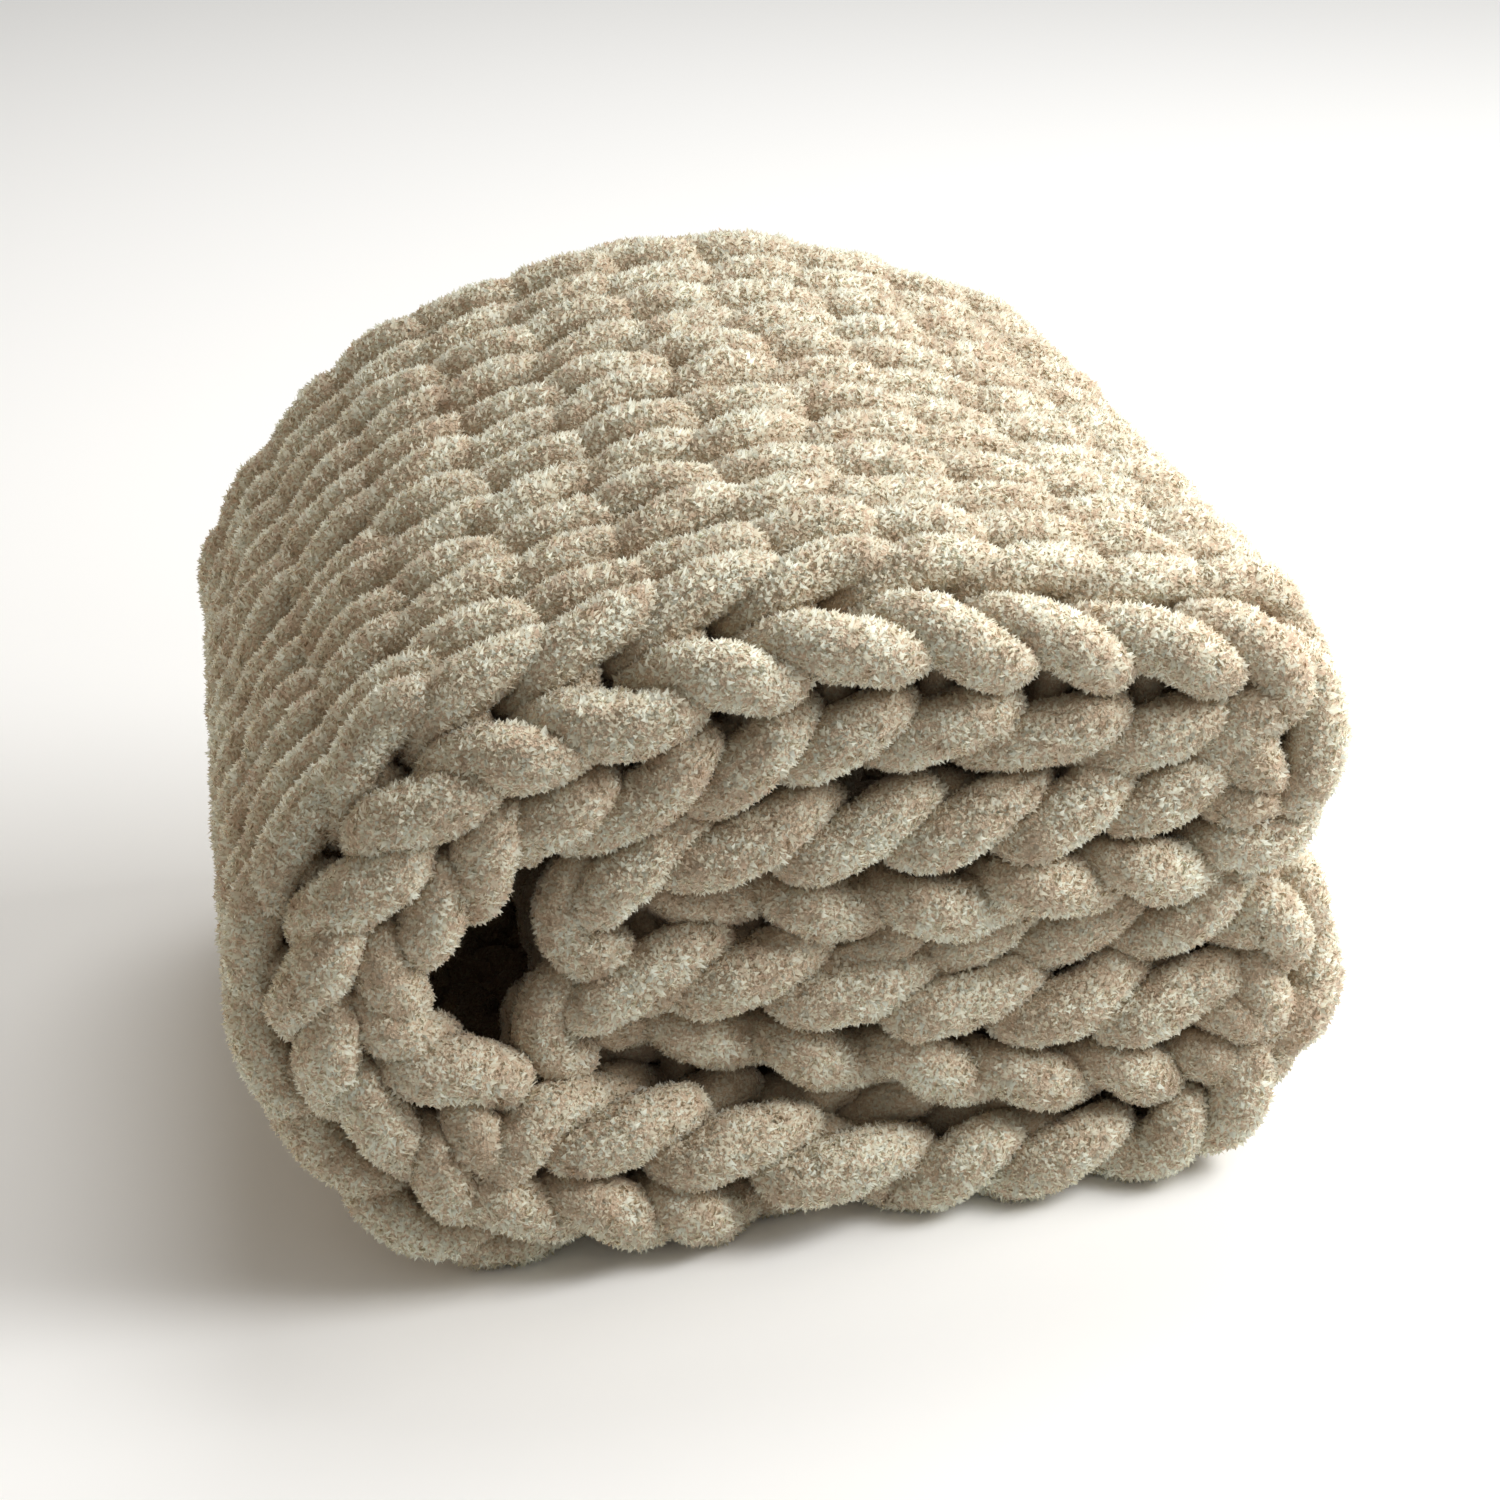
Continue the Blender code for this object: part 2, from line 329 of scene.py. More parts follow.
def half_loop(side, stitch):
    """Knots of half a loop, on the side -1 or 1 of its middle, from between stitches to the head."""
    wides, lifts, plumps = ROPE_SIDE, ROPE_LIFT, ROPE_PLUMP
    if stitch in (0, STITCHES - 1):
        rim = -1 if stitch == 0 else 1
        wides = RIM_SIDE if side == rim else BODY_SIDE
        lifts = [knot.lift for knot in HALF_LOOP]
        plumps = [knot.plump for knot in HALF_LOOP]
    places = zip(HALF_LOOP, wides, lifts, plumps)
    return [(k.along, side * wide, lift, plump) for k, wide, lift, plump in places]


def yarn_knots():
    """Every knot of the one long yarn, as rows of course, across, lift and plump."""
    rows = []
    for course in range(COURSES):
        forward = 1 if course % 2 == 0 else -1
        order = range(STITCHES)[::forward]
        for stitch in order:
            go = half_loop(-forward, stitch)
            back = half_loop(forward, stitch)[-2::-1]
            if stitch == order[0]:
                go = go[2:]
            elif rows:
                go = go[1:]
            if stitch == order[-1]:
                back = back[:-2]
                way_out = TURN if course < COURSES - 1 else TAIL
                back += [(k.along, k.across * forward, k.lift, k.plump) for k in way_out]
            if not rows:
                go = [(k.along, -k.across, k.lift, k.plump) for k in TAIL[::-1]] + go
            for along, across, lift, plump in go + back:
                rows.append((course + along, stitch + 0.5 + across, lift, plump))
    return np.array(rows)


knots = yarn_knots()
knots = knots + rng.normal(0, 1, knots.shape) * WOBBLE
print("knots in the yarn", len(knots))

# %% [markdown]
# ## The yarn as a tube
# A smooth curve through the knots gives the path of the yarn. It is carried to the folded blanket
# and cut into even steps. A curve object with a bevel could make a tube from it, but then the yarn
# could not be plump in one place and pressed flat in another.

# %% Lay the path
STEP = 0.0055  # distance between rings
PER_KNOT = 5  # places on the curve from one knot to the next


def smooth_curve(points, per):
    """Catmull-Rom curve through the points, with per places from each point to the next."""
    p = np.vstack([2 * points[0] - points[1], points, 2 * points[-1] - points[-2]])
    t = (np.arange(per) / per)[None, :, None]
    a, b, c, d = (p[k : len(p) - 3 + k, None, :] for k in range(4))
    squared = (2 * a - 5 * b + 4 * c - d) * t**2
    cubed = (3 * b - a - 3 * c + d) * t**3
    curve = 0.5 * (2 * b + (c - a) * t + squared + cubed)
    return curve.reshape(-1, points.shape[1])


flat = smooth_curve(knots, PER_KNOT)
path = cloth_point(flat[:, 0], flat[:, 1], flat[:, 2])
lengths = np.r_[0, np.cumsum(np.linalg.norm(np.diff(path, axis=0), axis=1))]
even = np.arange(0, lengths[-1], STEP)
centres = np.stack([np.interp(even, lengths, path[:, k]) for k in range(3)], axis=1)
plump = np.interp(even, lengths, flat[:, 3])
print("yarn length", round(lengths[-1], 2), "m,", len(even), "rings")

# %% [markdown]
# ## Rings round the path
# A ring of points is laid round each step of the path. Each ring needs two directions across the
# yarn. They are handed on from ring to ring with as little turning as possible, so that the tube
# isn't twisted where the yarn winds through its loops.

# %% Lay the rings
SIDES = 10  # points on a ring
CORE_SHARE = 0.935  # radius of the tube beside that of the yarn with its pile
UNEVEN = 0.05  # how uneven the tube's radius is
ROUND_TIP = 1.2  # the ends of the yarn are round over this many radii
LOWEST = 0.0015  # the yarn lies flat on the floor at this height


def ring_frames(points):
    """Two directions across the yarn at each ring, turning as little as possible on the way."""
    ways = np.gradient(points, axis=0)
    ways /= np.linalg.norm(ways, axis=1)[:, None]
    side = np.cross(ways[0], (0.0, 0.0, 1.0))
    sides = np.empty_like(points)
    for index, way in enumerate(ways):
        side = side - way * (side @ way)
        side = side / np.linalg.norm(side)
        sides[index] = side
    return sides, np.cross(ways, sides), ways


sides, ups, ways = ring_frames(centres)
turns = np.arange(SIDES) / SIDES * 2 * math.pi
round_way = sides[:, None, :] * np.cos(turns)[None, :, None]
round_way = round_way + ups[:, None, :] * np.sin(turns)[None, :, None]
to_tip = np.minimum(even, even[-1] - even)
tip = np.sqrt(np.clip(to_tip / (ROUND_TIP * YARN), 0.02, 1))
bumps = 1 + UNEVEN * rng.normal(size=(len(even), SIDES))
radius = YARN * CORE_SHARE * (plump * tip)[:, None] * bumps
rings = centres[:, None, :] + round_way * radius[:, :, None]
rings[:, :, 2] = np.maximum(rings[:, :, 2], LOWEST)
print("lowest and highest point", rings[..., 2].min().round(4), rings[..., 2].max().round(4))

# %% [markdown]
# ## Meshes from arrays
# Thousands of rings are joined into a few meshes, because one mesh per stitch would be slow to open
# and to render. The faces come straight from the order of the points. Each piece also gets a flat
# map with room for every face, so that its colours can be painted onto a picture for an export.

# %% Helpers for meshes


def mesh_from(name, points, faces, normals=None):
    """An object made of these points and of faces with one and the same number of corners."""
    mesh = bpy.data.meshes.new(name)
    corners = faces.shape[1]
    mesh.vertices.add(len(points))
    mesh.vertices.foreach_set("co", points.astype(np.float32).ravel())
    mesh.loops.add(faces.size)
    mesh.loops.foreach_set("vertex_index", faces.astype(np.int32).ravel())
    mesh.polygons.add(len(faces))
    mesh.polygons.foreach_set("loop_start", np.arange(len(faces), dtype=np.int32) * corners)
    mesh.update(calc_edges=True)
    mesh.validate()
    mesh.shade_smooth()
    if normals is not None:
        mesh.normals_split_custom_set_from_vertices(normals)
    made = bpy.data.objects.new(name, mesh)
    bpy.context.scene.collection.objects.link(made)
    return made


def lay_out(piece, corner_places):
    """Gives the piece a flat map, with the place of each face corner in a unit square."""
    layer = piece.data.uv_layers.new(name="OFBake")
    layer.uv.foreach_set("vector", corner_places.astype(np.float32).ravel())


print("helpers", [made.__name__ for made in (mesh_from, lay_out)])

# %% [markdown]
# ## The bare yarn
# Faces join each ring to the next, with four corners each. The whole tube has over a quarter of a
# million triangles, so it is cut into two meshes of about the same length. Its map is cut into
# strips, because one strip of the whole yarn would be thousands of times longer than wide.

# %% Build the yarn pieces
PARTS = 2  # meshes that the yarn is split into


def tube_faces(first, last):
    """Quads between the rings from first to last."""
    ring = np.arange(first, last)[:, None] * SIDES
    here = ring + np.arange(SIDES)[None, :]
    beside = ring + (np.arange(SIDES)[None, :] + 1) % SIDES
    return np.stack([here, here + SIDES, beside + SIDES, beside], axis=2).reshape(-1, 4)


def strips_map(count):
    """Map of a tube of count quads from end to end, cut into strips that fill the square."""
    strips = max(round(math.sqrt(count / SIDES)), 1)
    strip_length = math.ceil(count / strips)
    ring, side_index = np.divmod(np.arange(count * SIDES), SIDES)
    u = ring % strip_length
    v = ring // strip_length * SIDES + side_index
    square = ((0, 0), (1, 0), (1, 1), (0, 1))
    places = np.stack([np.stack([u + du, v + dv], axis=1) for du, dv in square], axis=1)
    return places / (strip_length, strips * SIDES)


bounds_of_parts = np.linspace(0, len(even) - 1, PARTS + 1).astype(int)
yarn_pieces = []
all_points = rings.reshape(-1, 3)
for part in range(PARTS):
    first, last = bounds_of_parts[part], bounds_of_parts[part + 1]
    faces = tube_faces(first, last) - first * SIDES
    piece = mesh_from(f"yarn_{part + 1}", all_points[first * SIDES : (last + 1) * SIDES], faces)
    lay_out(piece, strips_map(last - first))
    yarn_pieces.append(piece)
    print(piece.name, len(piece.data.polygons) * 2, "triangles")

# %% [markdown]
# ## Which yarn shows
# Most of the yarn lies hidden inside the blanket, and pile in there would be wasted. From every point
# of the tube we send a few rays away from the yarn. Where none of them leaves the blanket, nobody can
# look in either, so that place stays bare. A tree of the faces makes a million rays quick.

# %% Rays from the yarn's surface
RAYS = 8  # from each point of the tube
RAY_START = 0.0015  # from the surface, so that a ray doesn't meet the face it starts on
RAY_LENGTH = 0.5
RAY_SCATTER = 0.95  # how far the rays lean away from straight out, where 1 is the whole half space


def share_of_open_rays(points, outwards):
    """For each point, the share of its rays that leave the blanket."""
    tree = BVHTree.FromPolygons(points.tolist(), tube_faces(0, len(even) - 1).tolist())
    starts = (points + outwards * RAY_START).tolist()
    opened = np.zeros(len(points))
    for _ in range(RAYS):
        scatter = rng.normal(size=points.shape)
        scatter *= RAY_SCATTER / np.linalg.norm(scatter, axis=1)[:, None]
        rays = (outwards + scatter).tolist()
        for index, (start, ray) in enumerate(zip(starts, rays)):
            if tree.ray_cast(start, ray, RAY_LENGTH)[0] is None:
                opened[index] += 1
    return opened / RAYS


seen = share_of_open_rays(all_points, round_way.reshape(-1, 3)).reshape(len(even), SIDES)
print("share of the yarn that shows", (seen > 0).mean().round(3))

# The shares are averaged along the yarn and round it, so that the pile changes softly.
around = np.pad(seen, ((2, 2), (0, 0)), "edge")
around = sum(around[k : k + len(even)] for k in range(5)) / 5
openness = (2 * around + np.roll(around, 1, axis=1) + np.roll(around, -1, axis=1)) / 4

# %% [markdown]
# ## Where pile grows
# Chenille is a thin core with short soft fibres standing out all round it, gathered in faint rings.
# Particle hair would need a renderer's own hair, which doesn't survive an export. So each tuft is one
# small triangle, and there are hundreds of thousands of them. First we choose their places: a grid of
# small cells round the yarn where it shows, with one tuft anywhere in each cell.

# %% Choose places for the tufts
TUFT_GAP = 0.00118  # distance between neighbouring tufts
MOST_TUFTS = 700_000
GRID_RADIUS = 0.9  # the cells are laid out at this share of the yarn's radius
SHOWS_FROM = 0.13  # pile grows where the four ring points round a cell show by this much together


def plant():
    """Ring, share of the way to the next ring and angle round the yarn of each tuft."""
    along_cells = max(round(STEP / TUFT_GAP), 1)
    round_cells = round(2 * math.pi * YARN * GRID_RADIUS / TUFT_GAP)
    nearest = (np.arange(round_cells) * SIDES // round_cells) % SIDES
    beside = (nearest + 1) % SIDES
    open_cells = seen[:-1][:, nearest] + seen[1:][:, nearest]
    open_cells = open_cells + seen[:-1][:, beside] + seen[1:][:, beside]
    ring_index, cell = np.nonzero(open_cells > SHOWS_FROM)
    ring_index = np.repeat(ring_index, along_cells)
    cell = np.repeat(cell, along_cells)
    slot = np.tile(np.arange(along_cells), len(ring_index) // along_cells)
    count = len(ring_index)
    share = (slot + rng.random(count)) / along_cells
    angle = (cell + rng.random(count)) / round_cells * 2 * math.pi
    return ring_index, share, angle


ring_index, share, angle = plant()
print("tufts planted", len(ring_index))
if len(ring_index) > MOST_TUFTS:
    chosen = np.sort(rng.choice(len(ring_index), MOST_TUFTS, replace=False))
    ring_index, share, angle = ring_index[chosen], share[chosen], angle[chosen]
count = len(ring_index)
print("tufts kept", count)

# %% [markdown]
# ## Which way is out
# Every tuft needs to know where the surface of the yarn is and which way is out of it, along it and
# round it. All three come from the rings on either side of the tuft. Arrays do this for every tuft in
# one go, where a loop would take minutes.

# %% Find the roots and directions of the tufts
ROOT_AT = 0.97  # the root is just under the surface, as a share of the tube's radius


def between_rings(values, ring_index, share):
    """Ring values taken part of the way from one ring to the next."""
    share = share.reshape(-1, *([1] * (values.ndim - 1)))
    return values[ring_index] * (1 - share) + values[ring_index + 1] * share


def unit(vectors):
    """The same directions with length 1."""
    return vectors / np.linalg.norm(vectors, axis=1)[:, None]


side = between_rings(sides, ring_index, share)
up = between_rings(ups, ring_index, share)
out = unit(side * np.cos(angle)[:, None] + up * np.sin(angle)[:, None])
way = between_rings(ways, ring_index, share)
way = unit(way - out * (way * out).sum(1)[:, None])
round_yarn = np.cross(out, way)

slot = angle / (2 * math.pi) * SIDES
low_side, part = slot.astype(int) % SIDES, slot % 1
high_side = (low_side + 1) % SIDES
low_radius = radius[ring_index, low_side] * (1 - share) + radius[ring_index + 1, low_side] * share
high_radius = radius[ring_index, high_side] * (1 - share) + radius[ring_index + 1, high_side] * share
thick_here = low_radius * (1 - part) + high_radius * part
open_here = openness[ring_index, low_side] * (1 - part) + openness[ring_index, high_side] * part
roots = between_rings(centres, ring_index, share) + out * (thick_here * ROOT_AT)[:, None]
print("tube radius at the tufts", thick_here.min().round(4), "to", thick_here.max().round(4))

# %% [markdown]
# ## The shape of a tuft
# Each tuft stands on a short base turned at random and leans to one side, longer in the rings and
# shorter where neighbouring yarns press on it. It faces nearly straight out, whatever its triangle
# does, so that the light runs softly round the yarn instead of flashing on single triangles.

# %% Shape the tufts
TUFT_WIDE = 0.0021
TUFT_HIGH = 0.0015
ROOT = 0.0004  # a tuft starts this deep in the yarn
RING_GAP = 0.0050  # the pile stands in faint rings, this far apart
RING_DEPTH = 0.20  # how much the height of the pile changes in the rings
RING_DRIFT = 0.031  # the rings slide to and fro over about this length
LEAST_HIGH = 0.55  # height of pressed pile beside free pile
FREE_FROM = 0.8  # pile is free where this share of the rays leaves
TUFT_FLOOR = 0.0004  # no tuft reaches below this height


def vary(least, more):
    """A random number for each tuft, from least to least + more."""
    return rng.random(count) * more + least


turn = rng.random(count)[:, None] * 2 * math.pi
base = way * np.cos(turn) + round_yarn * np.sin(turn)
lean = np.cross(out, base)
travel = (ring_index + share) * STEP
drift = 1.5 * np.sin(travel / RING_DRIFT)
ring_wave = np.sin(2 * math.pi * (travel / RING_GAP + angle / (2 * math.pi)) + drift)
high = (TUFT_HIGH * vary(0.7, 0.6) * (1 + RING_DEPTH * ring_wave))[:, None]
high *= (LEAST_HIGH + (1 - LEAST_HIGH) * np.minimum(open_here / FREE_FROM, 1))[:, None]
wide = (TUFT_WIDE * vary(0.75, 0.5))[:, None]
tip_shift = high * vary(0.8, 0.8)[:, None]
tips = roots + out * high + lean * tip_shift
starts = (roots - base * wide / 2 - out * ROOT, roots + base * wide / 2 - out * ROOT)
corners = np.stack([*starts, tips], axis=1)
corners[:, :, 2] = np.maximum(corners[:, :, 2], TUFT_FLOOR)
facing = unit(out + lean * 0.24 + rng.normal(size=out.shape) * 0.12)
shade = np.clip(0.5 + 0.13 * ring_wave + 0.11 * rng.normal(size=count), 0, 1)
print("tuft height", high.min().round(5), "to", high.max().round(5))

# %% [markdown]
# ## Facts for the materials
# A material can read numbers that are stored on a mesh. The yarn stores how open each place is. A
# tuft also stores how far up the pile a point is, a shade of its own, and the way it faces.

# %% Build the pile pieces
PILE_PARTS = 5  # meshes that the pile is split into
TUFT_IN_CELL = ((0.05, 0.05), (0.75, 0.05), (0.05, 0.75))  # corners of a tuft in its map's cell


def store(piece, name, values, kind="FLOAT", field="value"):
    """Stores a number or a direction for each point of the piece, for its material to read."""
    layer = piece.data.attributes.new(name, kind, "POINT")
    layer.data.foreach_set(field, values.astype(np.float32))


def tuft_map(count):
    """Map of count tufts, two to a square cell."""
    cells = math.ceil(math.sqrt(count / 2))
    cell = np.arange(count) // 2
    corner = np.stack([cell % cells, cell // cells], axis=1)[:, None, :]
    lower = np.array(TUFT_IN_CELL)
    places = np.where((np.arange(count) % 2)[:, None, None], 1 - lower, lower)
    return (corner + places) / cells


def pile_piece(name, own):
    """One mesh of the tufts in the slice own, with its map and its facts."""
    points = corners[own].reshape(-1, 3)
    tufts = len(points) // 3
    normals = np.repeat(facing[own], 3, axis=0)
    piece = mesh_from(name, points, np.arange(len(points)).reshape(-1, 3), normals)
    lay_out(piece, tuft_map(tufts))
    store(piece, "up_the_pile", np.tile([0.0, 0.0, 1.0], tufts))
    store(piece, "shade", np.repeat(shade[own], 3))
    store(piece, "open", np.repeat(open_here[own], 3))
    store(piece, "outward", normals.ravel(), "FLOAT_VECTOR", "vector")
    print(piece.name, len(piece.data.polygons), "triangles")
    return piece


for part, piece in enumerate(yarn_pieces):
    own = openness[bounds_of_parts[part] : bounds_of_parts[part + 1] + 1]
    store(piece, "open", own.ravel())
cuts = np.linspace(0, count, PILE_PARTS + 1).astype(int)
pile_pieces = [
    pile_piece(f"pile_{part + 1}", slice(cuts[part], cuts[part + 1])) for part in range(PILE_PARTS)
]

# %% [markdown]
# ## Helpers for materials
# A material is a graph of nodes. These helpers make the few kinds of node that both finishes use, so
# that each finish reads as a short recipe. Building the graph in code keeps it the same every time.

# %% Helpers for materials


def new_material(name):
    """A material with its node tree and its Principled shader."""
    material = bpy.data.materials.new(name)
    material.use_nodes = True
    tree = material.node_tree
    return material, tree, tree.nodes["Principled BSDF"]


def attribute(tree, name):
    """A node that reads one of the facts stored on the mesh."""
    node = tree.nodes.new("ShaderNodeAttribute")
    node.attribute_name = name
    return node


def ramp(tree, stops):
    """A colour ramp through these (place, colour) stops."""
    node = tree.nodes.new("ShaderNodeValToRGB")
    while len(node.color_ramp.elements) < len(stops):
        node.color_ramp.elements.new(0.5)
    for element, (place, colour) in zip(node.color_ramp.elements, stops):
        element.position = place
        element.color = colour
    return node


def noise(tree, size, detail=2.0):
    """A noise whose patches are about size metres wide, in the object's own space."""
    place = tree.nodes.new("ShaderNodeTexCoord")
    node = tree.nodes.new("ShaderNodeTexNoise")
    node.inputs["Scale"].default_value = 1 / size
    node.inputs["Detail"].default_value = detail
    tree.links.new(place.outputs["Object"], node.inputs["Vector"])
    return node


def add(tree, first, second, share):
    """first + second * share, as a math node."""
    node = tree.nodes.new("ShaderNodeMath")
    node.operation = "MULTIPLY_ADD"
    tree.links.new(second, node.inputs[0])
    node.inputs[1].default_value = share
    tree.links.new(first, node.inputs[2])
    return node


def spread(tree, value, low, high, least=0.0):
    """Stretches value so that low becomes least and high becomes 1."""
    node = tree.nodes.new("ShaderNodeMapRange")
    node.inputs["From Min"].default_value = low
    node.inputs["From Max"].default_value = high
    node.inputs["To Min"].default_value = least
    tree.links.new(value, node.inputs["Value"])
    return node


def colour_mix(tree, share, first, second):
    """Mixes the plain colour first with the linked colour second by a linked share of second."""
    node = tree.nodes.new("ShaderNodeMix")
    node.data_type = "RGBA"
    node.inputs["A"].default_value = first
    tree.links.new(share, node.inputs["Factor"])
    tree.links.new(second, node.inputs["B"])
    return node.outputs["Result"]


print("helpers", [made.__name__ for made in (attribute, ramp, noise, add, spread, colour_mix)])

# %% [markdown]
# ## The colour of plush
# The real pile is cream at its tips, oat in between and tan in flecks and soft patches. Deep in the
# folds it is painted browner, as painted shade for the light that reaches it only off other brown
# yarn. One function mixes these colours for the pile and for the yarn below it, from a shade, two
# noises and how open the place is.

# %% The colour of plush
# The root brown is painted shade, at the roots of the tufts and in the yarn between them.
ROOT_SHADE_BROWN = (0.455, 0.368, 0.262, 1.0)
# The hollow brown is painted shade deep in the folds, where little light reaches.
HOLLOW_SHADE_BROWN = (0.420, 0.315, 0.210, 1.0)
TAN = (0.550, 0.402, 0.285, 1.0)
OAT = (0.690, 0.640, 0.487, 1.0)
CREAM = (0.825, 0.835, 0.705, 1.0)
PATCH = 0.009  # size of the mottling, in metres
WIDE_PATCH = 0.060


def plush_colour(tree, flecks, stops):
    """Fine flecks mottled by patches a stitch's width apart and wide soft ones, with hollows painted in
    shade.
    """
    patches = add(tree, flecks, noise(tree, PATCH).outputs["Fac"], 1.3)
    mixed = add(tree, patches.outputs[0], noise(tree, WIDE_PATCH).outputs["Fac"], 0.6)
    level = spread(tree, mixed.outputs[0], 0.90, 1.98)
    colours = ramp(tree, stops)
    tree.links.new(level.outputs["Result"], colours.inputs["Fac"])
    # Hidden places are mixed towards the hollow brown: painted shade.
    outside = spread(tree, attribute(tree, "open").outputs["Fac"], 0.05, 0.80, 0.40)
    return colour_mix(tree, outside.outputs["Result"], HOLLOW_SHADE_BROWN, colours.outputs["Color"])


print("plush runs from", TAN[:3], "to", CREAM[:3])

# %% [markdown]
# ## The pile's finish
# A tuft is painted browner towards its root, as painted shade between the tufts, which is what makes
# plush look deep. It is matt, with the faint sheen of fine fibres. Fibres also let light through, so a
# tuft that is seen from its back shows the light that falls on its front. A translucent shader does
# this, and the tufts along the outline of the yarn glow softly where they would otherwise look like
# black specks.

# %% Finish of the pile


def see_back_lit(tree, shader, colour):
    """Shows the light that comes through a tuft wherever the tuft is seen from its back."""
    through = tree.nodes.new("ShaderNodeBsdfTranslucent")
    tree.links.new(colour, through.inputs["Color"])
    which = tree.nodes.new("ShaderNodeNewGeometry")
    either = tree.nodes.new("ShaderNodeMixShader")
    tree.links.new(which.outputs["Backfacing"], either.inputs["Fac"])
    tree.links.new(shader.outputs["BSDF"], either.inputs[1])
    tree.links.new(through.outputs["BSDF"], either.inputs[2])
    tree.links.new(either.outputs["Shader"], tree.nodes["Material Output"].inputs["Surface"])


def pile_finish():
    """Cream tufts with roots painted browner as shade, and tan flecks, which let light through."""
    material, tree, shader = new_material("chenille_pile")
    stops = ((0.12, TAN), (0.45, OAT), (0.80, CREAM))
    tip_colour = plush_colour(tree, attribute(tree, "shade").outputs["Fac"], stops)
    # The roots are mixed towards the root brown: painted shade between the tufts.
    rise = spread(tree, attribute(tree, "up_the_pile").outputs["Fac"], -0.25, 0.45)
    rise.interpolation_type = "SMOOTHSTEP"
    colour = colour_mix(tree, rise.outputs["Result"], ROOT_SHADE_BROWN, tip_colour)
    tree.links.new(colour, shader.inputs["Base Color"])
    to_world = tree.nodes.new("ShaderNodeVectorTransform")
    to_world.vector_type = "NORMAL"
    to_world.convert_from = "OBJECT"
    to_world.convert_to = "WORLD"
    tree.links.new(attribute(tree, "outward").outputs["Vector"], to_world.inputs["Vector"])
    tree.links.new(to_world.outputs["Vector"], shader.inputs["Normal"])
    shader.inputs["Roughness"].default_value = 0.9
    shader.inputs["Specular IOR Level"].default_value = 0.15
    shader.inputs["Sheen Weight"].default_value = 0.25
    shader.inputs["Sheen Roughness"].default_value = 0.45
    shader.inputs["Sheen Tint"].default_value = (0.95, 1.0, 0.93, 1.0)
    see_back_lit(tree, shader, colour)
    return material


pile = pile_finish()
print("finish", pile.name)

# %% [markdown]
# ## The yarn's own finish
# Between the tufts the yarn itself shows: the same plush, painted darker as shade between the tufts,
# and finely rough. A very fine noise gives both its flecks and its bump, so light grains sit where the
# surface rises and dark grains, as painted shade, where it falls. More tufts would hide it, but they
# would cost far more than a bump does.

# %% Finish of the yarn
GRAIN = 0.0012  # size of the flecks and height of the bump, in metres


def core_finish():
    """The yarn between its tufts: the same plush in darker colours as painted shade, flecked and finely
    rough.
    """
    material, tree, shader = new_material("yarn_core")
    grain = noise(tree, GRAIN, 1.0).outputs["Fac"]
    # The grain that lifts the bump also lightens the colour, so the dips get painted shade.
    flecks = spread(tree, grain, 0.34, 0.66)
    # The core's colours are a step darker than the pile's: painted shade between the tufts.
    stops = ((0.10, ROOT_SHADE_BROWN), (0.50, TAN), (0.80, OAT))
    colour = plush_colour(tree, flecks.outputs["Result"], stops)
    tree.links.new(colour, shader.inputs["Base Color"])
    bump = tree.nodes.new("ShaderNodeBump")
    bump.inputs["Distance"].default_value = GRAIN
    bump.inputs["Strength"].default_value = 0.9
    tree.links.new(grain, bump.inputs["Height"])
    tree.links.new(bump.outputs["Normal"], shader.inputs["Normal"])
    shader.inputs["Roughness"].default_value = 0.95
    shader.inputs["Specular IOR Level"].default_value = 0.15
    shader.inputs["Sheen Weight"].default_value = 0.25
    return material


core = core_finish()
print("finish", core.name)

# %% [markdown]
# ## What each piece stands for
# The pieces take the place of the plain blanket of the CAD model and move with it.

# %% Hand the pieces over
for piece in yarn_pieces + pile_pieces:
    piece.data.materials.append(core if piece in yarn_pieces else pile)
    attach(piece, "root")
    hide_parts("knit_blanket")
print("pieces", len(yarn_pieces) + len(pile_pieces))

# %% [markdown]
# ## The floor
# A plain pale floor catches a soft shadow, which shows that the blanket rests on something. It is
# wide enough to fill the picture, and it is only a stage, so it isn't part of the model.

# %% Stage
FLOOR_REACH = 6.0


def pale_floor(reach):
    """A square floor at the blanket's underside, matt and nearly white."""
    mesh = bpy.data.meshes.new("floor")
    places = [(-reach, -reach, 0), (reach, -reach, 0), (reach, reach, 0), (-reach, reach, 0)]
    mesh.from_pydata(places, [], [(0, 1, 2, 3)])
    paint, _, shader = new_material("floor_paint")
    shader.inputs["Base Color"].default_value = (0.95, 0.95, 0.94, 1)
    shader.inputs["Roughness"].default_value = 0.9
    mesh.materials.append(paint)
    made = bpy.data.objects.new("floor", mesh)
    bpy.context.scene.collection.objects.link(made)
    return made


floor = pale_floor(FLOOR_REACH)
print("floor", 2 * FLOOR_REACH, "m wide")

# %% [markdown]
# ## Light
# Large softboxes light plush best, because their soft shadows round off every strand and still let
# the gaps go dark. The strongest stands to the right, one behind lights the top, a small one brings
# out the near face, and a weak warm one fills the left side. The world adds a little light all round.

# %% Lamps
SKY = (1.0, 0.98, 0.94, 1)
SKY_STRENGTH = 0.27

world = bpy.data.worlds.new("studio")
bpy.context.scene.world = world
world.use_nodes = True
world.node_tree.nodes["Background"].inputs["Color"].default_value = SKY
world.node_tree.nodes["Background"].inputs["Strength"].default_value = SKY_STRENGTH


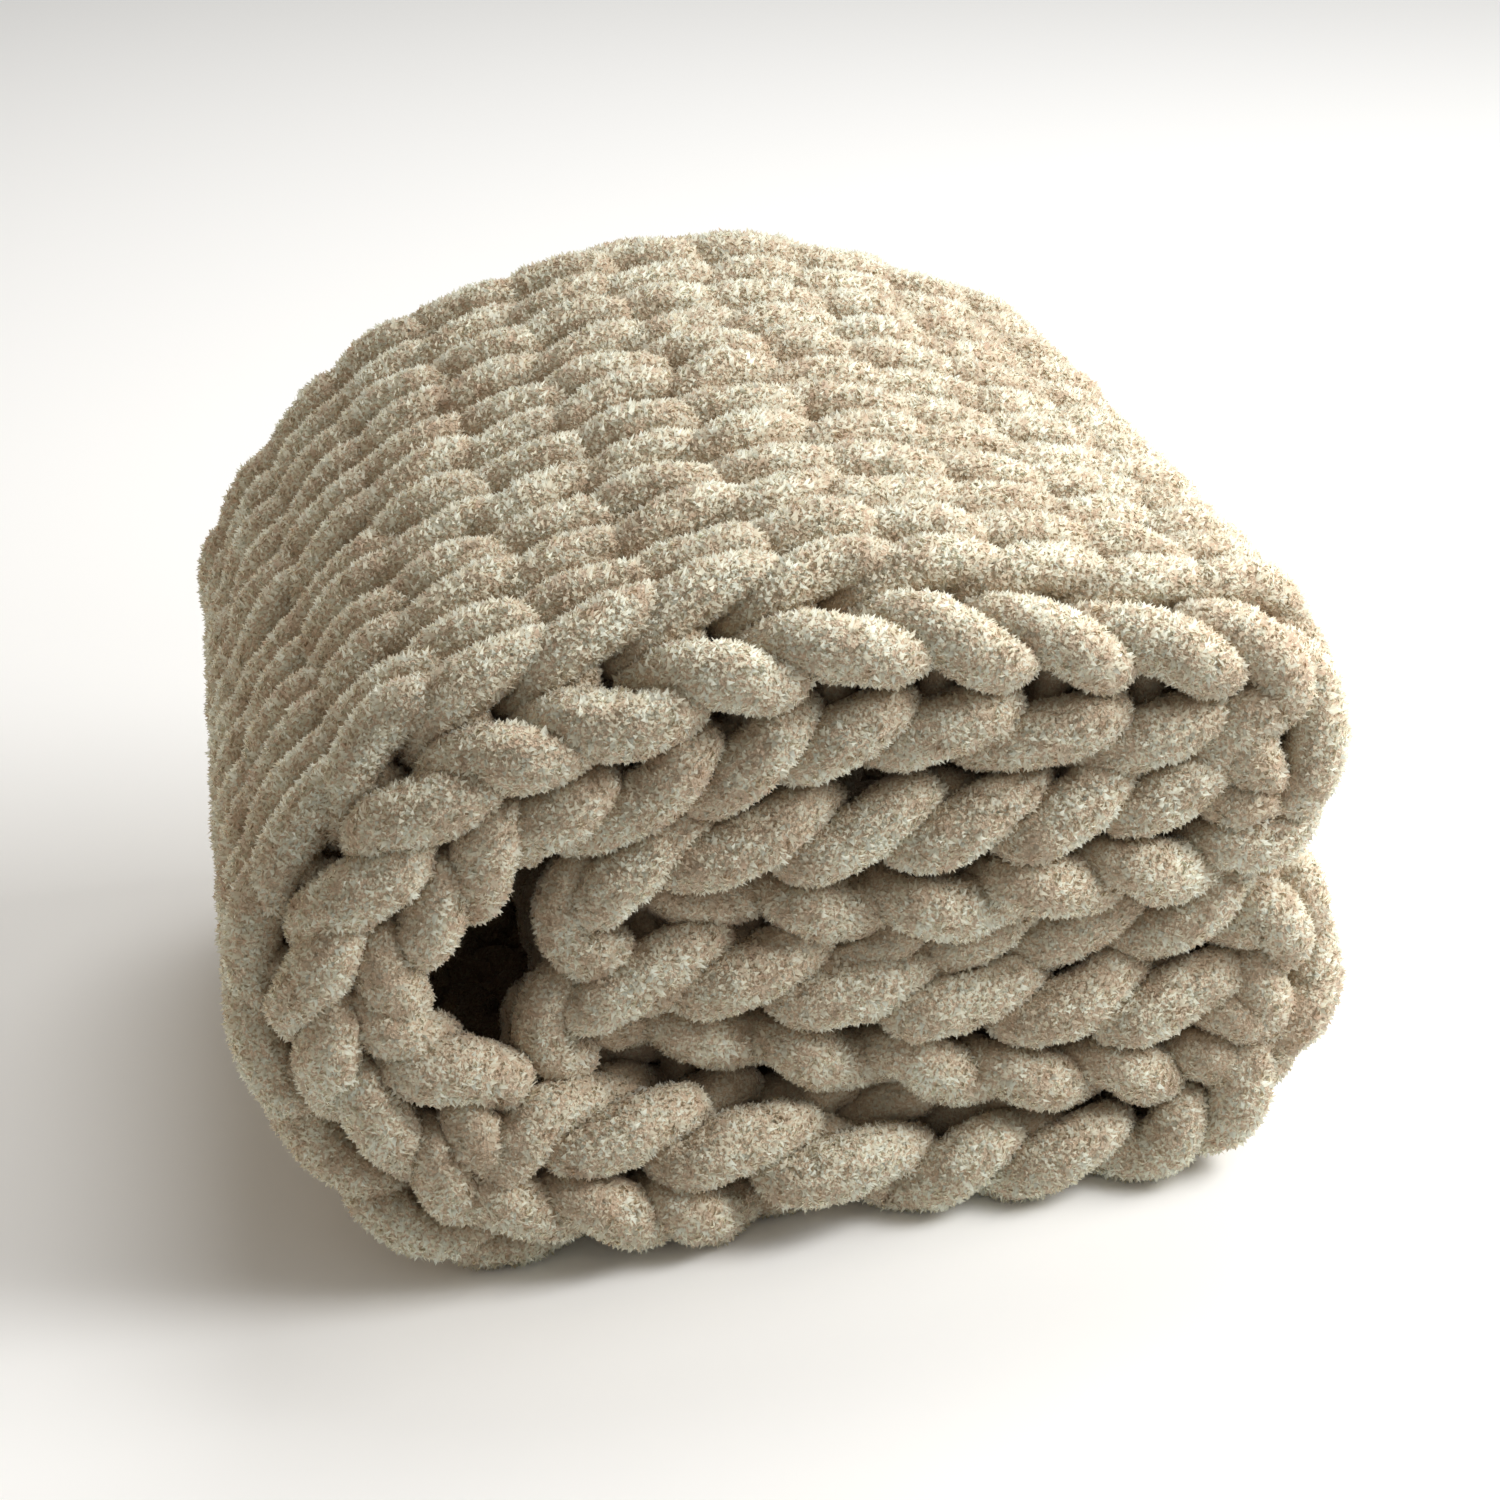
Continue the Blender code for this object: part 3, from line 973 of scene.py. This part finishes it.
def softbox(name, place, target, size, power, tint=(1.0, 1.0, 1.0)):
    """A square area lamp at place that points at target."""
    lamp = bpy.data.lights.new(name, "AREA")
    lamp.color = tint
    lamp.size = size
    lamp.energy = power
    made = bpy.data.objects.new(name, lamp)
    made.location = place
    made.rotation_euler = (Vector(target) - Vector(place)).to_track_quat("-Z", "Y").to_euler()
    made.visible_camera = False
    bpy.context.scene.collection.objects.link(made)
    print("lamp", name, power, "W")


softbox("key", (0.35, 0.95, 1.80), (0, 0, 0.1), 1.1, 19)
softbox("side", (1.75, -0.30, 1.45), (0, 0, 0.1), 1.1, 38)
softbox("near side", (0.50, -0.34, 0.60), (0.10, -0.10, 0.20), 0.35, 2.0)
softbox("bounce", (-1.5, 0.1, 0.7), (0, 0, 0.1), 1.4, 3, (1.0, 0.72, 0.42))
bpy.context.scene.view_settings.view_transform = "Standard"

# %% [markdown]
# ## Camera
# The camera looks down at the near end of the loaf from a little to the left, close enough for the
# far end to look smaller. It is placed by its angles round a target, because those are easy to read,
# and then turned by a fraction of a degree so that the loaf sits where it should in the picture.

# %% Camera
AZIMUTH, ELEVATION = math.radians(-11.95), math.radians(26.95)
DISTANCE = 1.294
PAN, TILT = math.radians(0.608), math.radians(-0.192)
TARGET = Vector((-0.002, 0, 0.125))
SENSOR = 36  # width in millimetres
LENS = 78.7416  # focal length in millimetres


def look_from(azimuth, elevation):
    """The direction from the target to the camera."""
    level = math.cos(elevation)
    return Vector((math.sin(azimuth) * level, -math.cos(azimuth) * level, math.sin(elevation)))


camera_data = bpy.data.cameras.new("camera")
camera = bpy.data.objects.new("camera", camera_data)
bpy.context.scene.collection.objects.link(camera)
off = look_from(AZIMUTH, ELEVATION)
camera.location = TARGET + off * DISTANCE
forward = -off
right = forward.cross(Vector((0, 0, 1))).normalized()
up = right.cross(forward)
aim = forward * math.cos(PAN) * math.cos(TILT) + right * math.sin(PAN) + up * math.sin(TILT)
camera.rotation_mode = "QUATERNION"
camera.rotation_quaternion = aim.to_track_quat("-Z", "Y")
camera_data.sensor_width = SENSOR
camera_data.lens = LENS
bpy.context.scene.camera = camera
print("camera at", [round(v, 3) for v in camera.location], "lens", round(LENS, 1), "mm")
